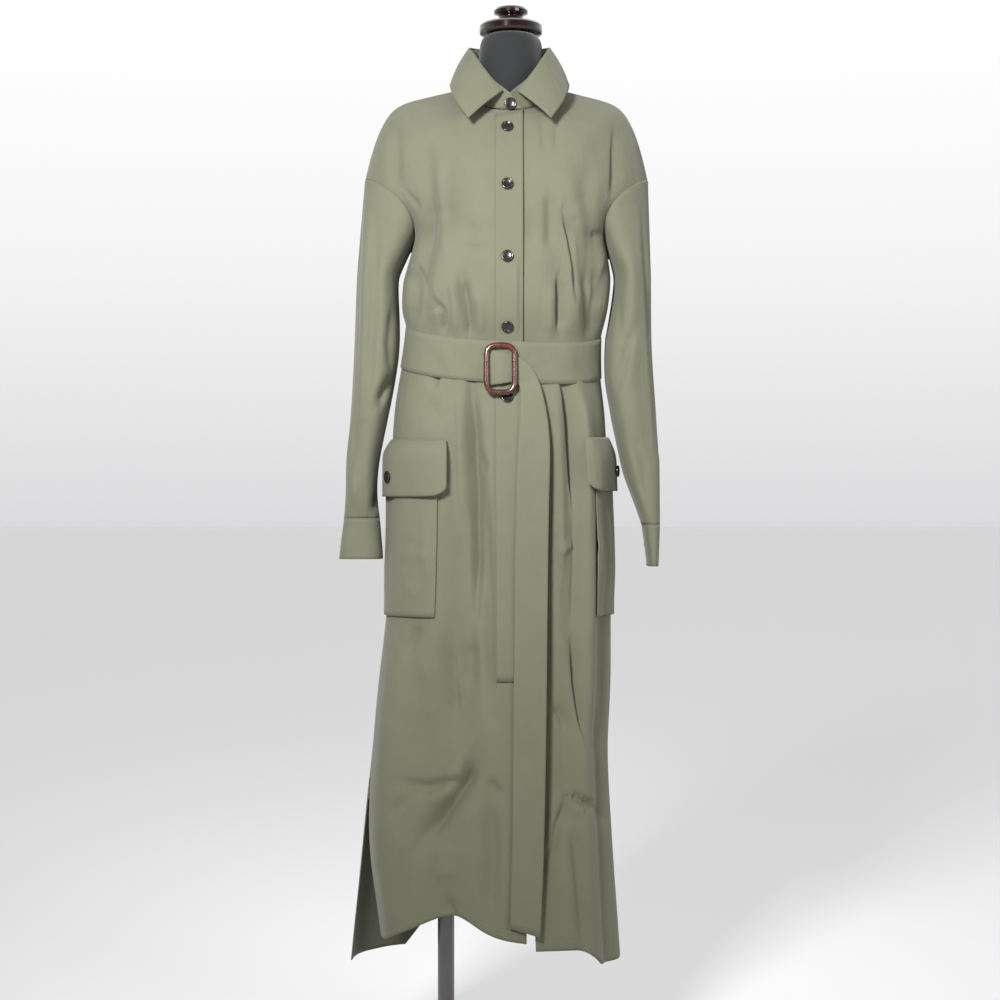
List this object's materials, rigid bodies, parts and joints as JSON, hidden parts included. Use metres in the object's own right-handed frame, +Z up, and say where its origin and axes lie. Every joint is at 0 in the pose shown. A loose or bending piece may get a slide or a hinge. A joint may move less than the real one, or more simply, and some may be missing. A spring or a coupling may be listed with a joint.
{
  "type": "belted shirt dress on a limbless dress form",
  "caption": "Long belted shirt dress with a placket front, patch pockets with flaps and side slits, worn on a limbless dress form on a pole and round base",
  "frame": {"origin": "on the floor, at the centre of the round base's underside", "axes": "+Z up, the dress faces -Y, and +X is the wearer's left"},
  "size_m": [0.4615, 0.38, 1.5386],
  "materials": {
    "cotton_twill": "matte twill",
    "button_horn": "polished dark horn",
    "buckle_resin": "polished reddish brown",
    "form_cover": "matte black cover",
    "lacquered_wood": "dark glossy lacquer",
    "pole_steel": "satin grey",
    "base_paint": "satin black"
  },
  "bodies": {
    "root": {"front_right": "cotton_twill", "front_left": "cotton_twill", "back": "cotton_twill", "front_placket": "cotton_twill", "sleeve_right": "cotton_twill", "sleeve_left": "cotton_twill", "cuff_right": "cotton_twill", "cuff_left": "cotton_twill", "collar_stand": "cotton_twill", "collar_fall": "cotton_twill", "pocket_right": "cotton_twill", "pocket_flap_right": "cotton_twill", "pocket_left": "cotton_twill", "pocket_flap_left": "cotton_twill", "belt_band": "cotton_twill", "belt_end": "cotton_twill", "button_front_1": "button_horn", "button_front_2": "button_horn", "button_front_3": "button_horn", "button_front_4": "button_horn", "button_front_5": "button_horn", "button_collar": "button_horn", "button_flap_right": "button_horn", "button_flap_left": "button_horn", "button_cuff_right": "button_horn", "button_cuff_left": "button_horn", "belt_buckle": "buckle_resin", "form_body": "form_cover", "form_cap": "lacquered_wood", "stand_socket": "base_paint", "form_knob": "lacquered_wood", "stand_pole": "pole_steel", "stand_base": "base_paint"}
  },
  "joints": []
}
